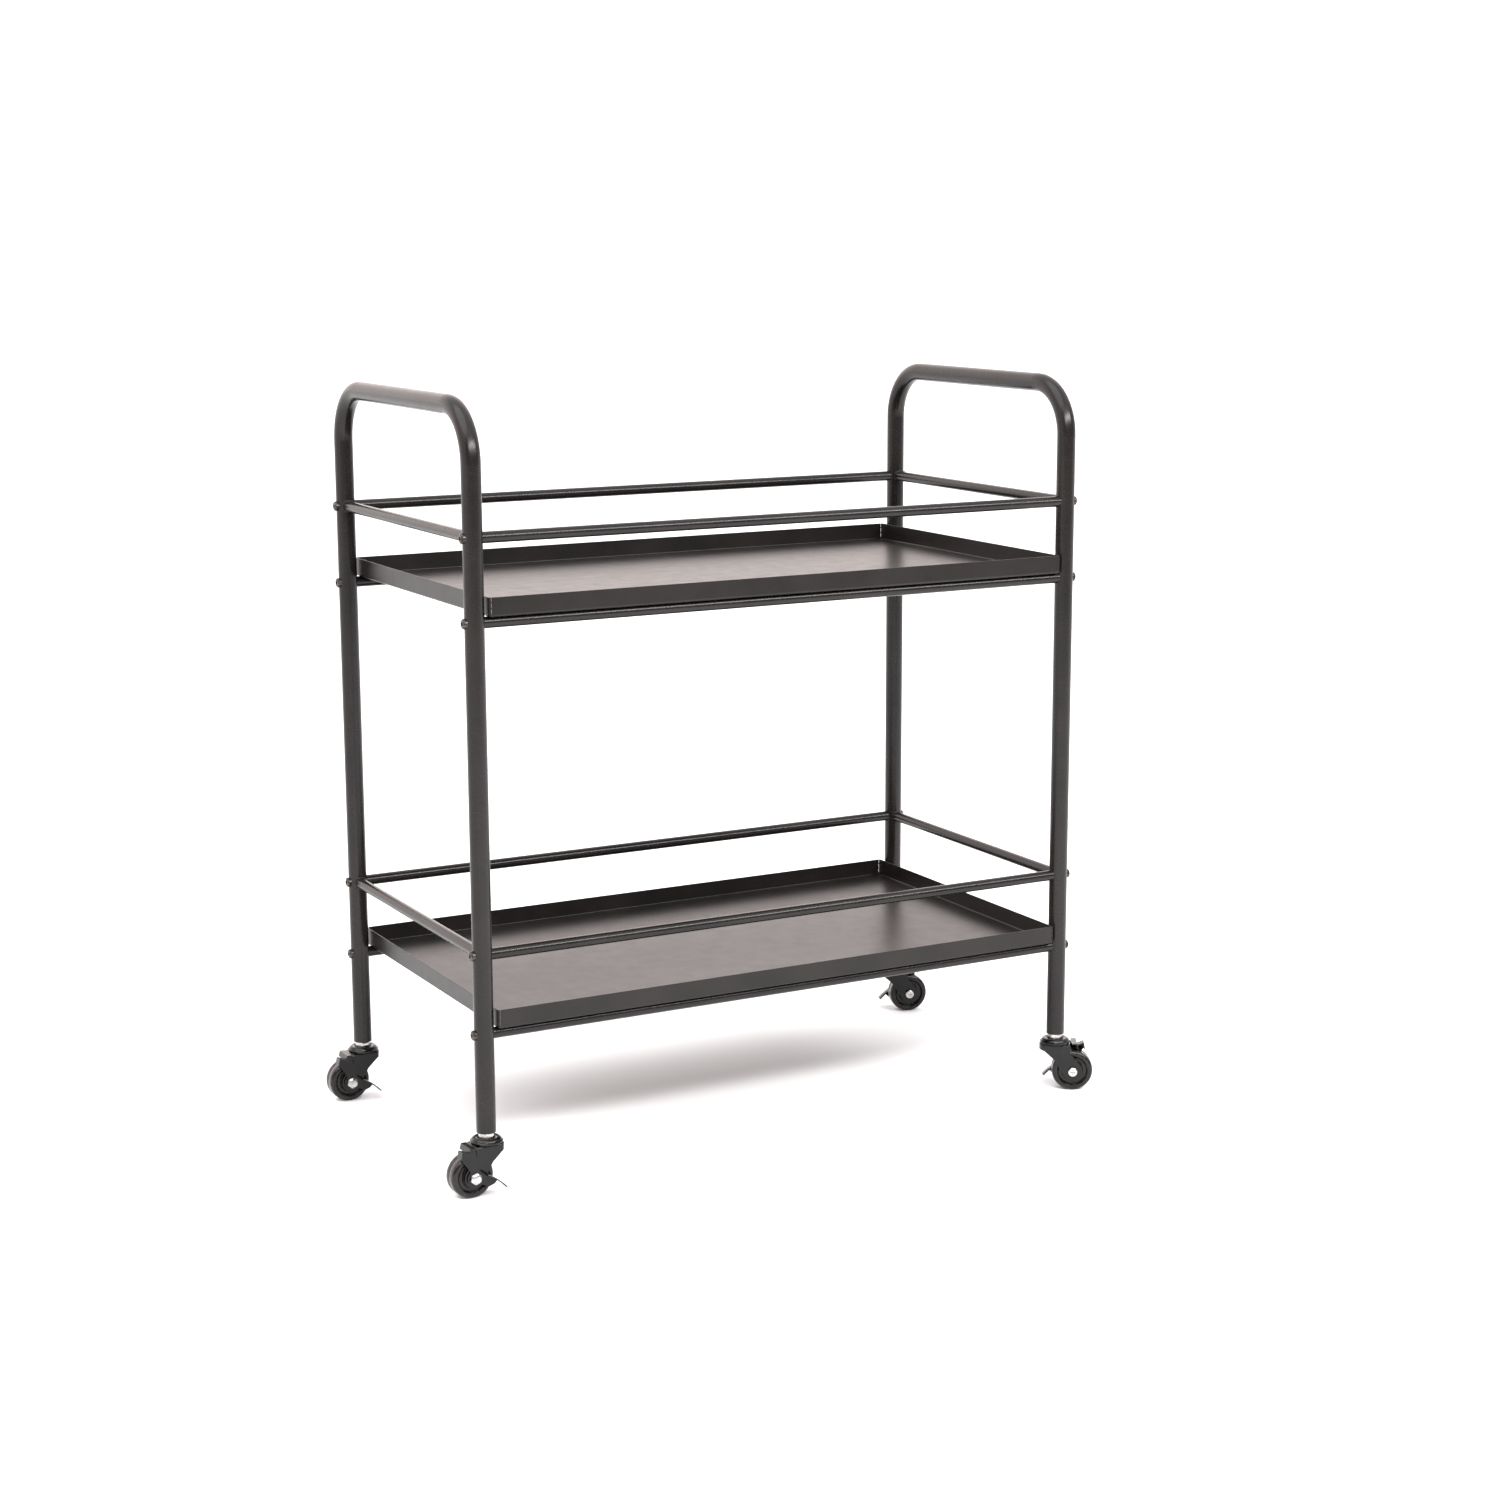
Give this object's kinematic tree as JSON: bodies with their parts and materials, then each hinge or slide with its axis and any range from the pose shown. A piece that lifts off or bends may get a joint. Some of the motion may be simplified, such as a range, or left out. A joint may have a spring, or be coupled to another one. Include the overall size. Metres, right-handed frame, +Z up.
{
  "type": "bar cart",
  "caption": "Rolling metal bar cart with bent tube end frames and handles, folded sheet trays with gallery rails, and braked swivel casters.",
  "frame": {"origin": "on the floor, midway between the four legs", "axes": "+Z up, +X along the cart's length, front at -Y"},
  "size_m": [0.8526, 0.444, 0.8765],
  "materials": {
    "frame_paint": "fine sandy black-brown powder coat",
    "tray_paint": "fine sandy satin black-brown powder coat",
    "caster_black": "glossy black coat on pressed steel",
    "wheel_black": "moulded black plastic, slightly worn",
    "zinc": "bright zinc plate",
    "bolt_metal": "dark bronze plate",
    "ball_steel": "polished steel"
  },
  "bodies": {
    "cart": {"left_end_frame": "frame_paint", "left_upper_cross_rail": "frame_paint", "left_lower_cross_rail": "frame_paint", "right_end_frame": "frame_paint", "right_upper_cross_rail": "frame_paint", "right_lower_cross_rail": "frame_paint", "front_upper_gallery_rail": "frame_paint", "front_upper_tray_rail": "frame_paint", "front_lower_gallery_rail": "frame_paint", "front_lower_tray_rail": "frame_paint", "rear_upper_gallery_rail": "frame_paint", "rear_upper_tray_rail": "frame_paint", "rear_lower_gallery_rail": "frame_paint", "rear_lower_tray_rail": "frame_paint", "upper_tray": "tray_paint", "lower_tray": "tray_paint", "frame_bolts": "bolt_metal", "rail_end_inserts": "zinc", "leg_inserts": "zinc", "front_left_caster_stem": "zinc", "front_left_top_race": "caster_black", "rear_left_caster_stem": "zinc", "rear_left_top_race": "caster_black", "front_right_caster_stem": "zinc", "front_right_top_race": "caster_black", "rear_right_caster_stem": "zinc", "rear_right_top_race": "caster_black"},
    "front_left_caster": {"front_left_fork": "caster_black", "front_left_race_balls": "ball_steel", "front_left_axle_bolt": "zinc", "front_left_axle_sleeve": "zinc", "front_left_axle_nut": "zinc"},
    "front_left_wheel_body": {"front_left_wheel": "wheel_black"},
    "front_left_brake": {"front_left_brake_lever": "caster_black"},
    "rear_left_caster": {"rear_left_fork": "caster_black", "rear_left_race_balls": "ball_steel", "rear_left_axle_bolt": "zinc", "rear_left_axle_sleeve": "zinc", "rear_left_axle_nut": "zinc"},
    "rear_left_wheel_body": {"rear_left_wheel": "wheel_black"},
    "rear_left_brake": {"rear_left_brake_lever": "caster_black"},
    "front_right_caster": {"front_right_fork": "caster_black", "front_right_race_balls": "ball_steel", "front_right_axle_bolt": "zinc", "front_right_axle_sleeve": "zinc", "front_right_axle_nut": "zinc"},
    "front_right_wheel_body": {"front_right_wheel": "wheel_black"},
    "front_right_brake": {"front_right_brake_lever": "caster_black"},
    "rear_right_caster": {"rear_right_fork": "caster_black", "rear_right_race_balls": "ball_steel", "rear_right_axle_bolt": "zinc", "rear_right_axle_sleeve": "zinc", "rear_right_axle_nut": "zinc"},
    "rear_right_wheel_body": {"rear_right_wheel": "wheel_black"},
    "rear_right_brake": {"rear_right_brake_lever": "caster_black"}
  },
  "joints": [
    {"name": "front_left_swivel", "type": "hinge", "parent": "cart", "child": "front_left_caster", "pos_m": [-0.38, -0.193, 0.06], "axis": [0, 0, 1], "continuous": true},
    {"name": "front_left_roll", "type": "hinge", "parent": "front_left_caster", "child": "front_left_wheel_body", "pos_m": [-0.40118, -0.19389, 0.025], "axis": [0.0419, -0.9991, 0], "continuous": true},
    {"name": "front_left_brake_press", "type": "hinge", "parent": "front_left_caster", "child": "front_left_brake", "pos_m": [-0.40118, -0.19389, 0.025], "axis": [0.0419, -0.9991, 0], "range_deg": [0, 15]},
    {"name": "rear_left_swivel", "type": "hinge", "parent": "cart", "child": "rear_left_caster", "pos_m": [-0.38, 0.193, 0.06], "axis": [0, 0, 1], "continuous": true},
    {"name": "rear_left_roll", "type": "hinge", "parent": "rear_left_caster", "child": "rear_left_wheel_body", "pos_m": [-0.4012, 0.1927, 0.025], "axis": [0.014, -0.9999, 0], "continuous": true},
    {"name": "rear_left_brake_press", "type": "hinge", "parent": "rear_left_caster", "child": "rear_left_brake", "pos_m": [-0.4012, 0.1927, 0.025], "axis": [0.014, -0.9999, 0], "range_deg": [0, 15]},
    {"name": "front_right_swivel", "type": "hinge", "parent": "cart", "child": "front_right_caster", "pos_m": [0.38, -0.193, 0.06], "axis": [0, 0, 1], "continuous": true},
    {"name": "front_right_roll", "type": "hinge", "parent": "front_right_caster", "child": "front_right_wheel_body", "pos_m": [0.39832, -0.20366, 0.025], "axis": [0.503, 0.8643, 0], "continuous": true},
    {"name": "front_right_brake_press", "type": "hinge", "parent": "front_right_caster", "child": "front_right_brake", "pos_m": [0.39832, -0.20366, 0.025], "axis": [0.503, 0.8643, 0], "range_deg": [0, 15]},
    {"name": "rear_right_swivel", "type": "hinge", "parent": "cart", "child": "rear_right_caster", "pos_m": [0.38, 0.193, 0.06], "axis": [0, 0, 1], "continuous": true},
    {"name": "rear_right_roll", "type": "hinge", "parent": "rear_right_caster", "child": "rear_right_wheel_body", "pos_m": [0.40023, 0.18666, 0.025], "axis": [0.299, 0.9542, 0], "continuous": true},
    {"name": "rear_right_brake_press", "type": "hinge", "parent": "rear_right_caster", "child": "rear_right_brake", "pos_m": [0.40023, 0.18666, 0.025], "axis": [0.299, 0.9542, 0], "range_deg": [0, 15]}
  ]
}
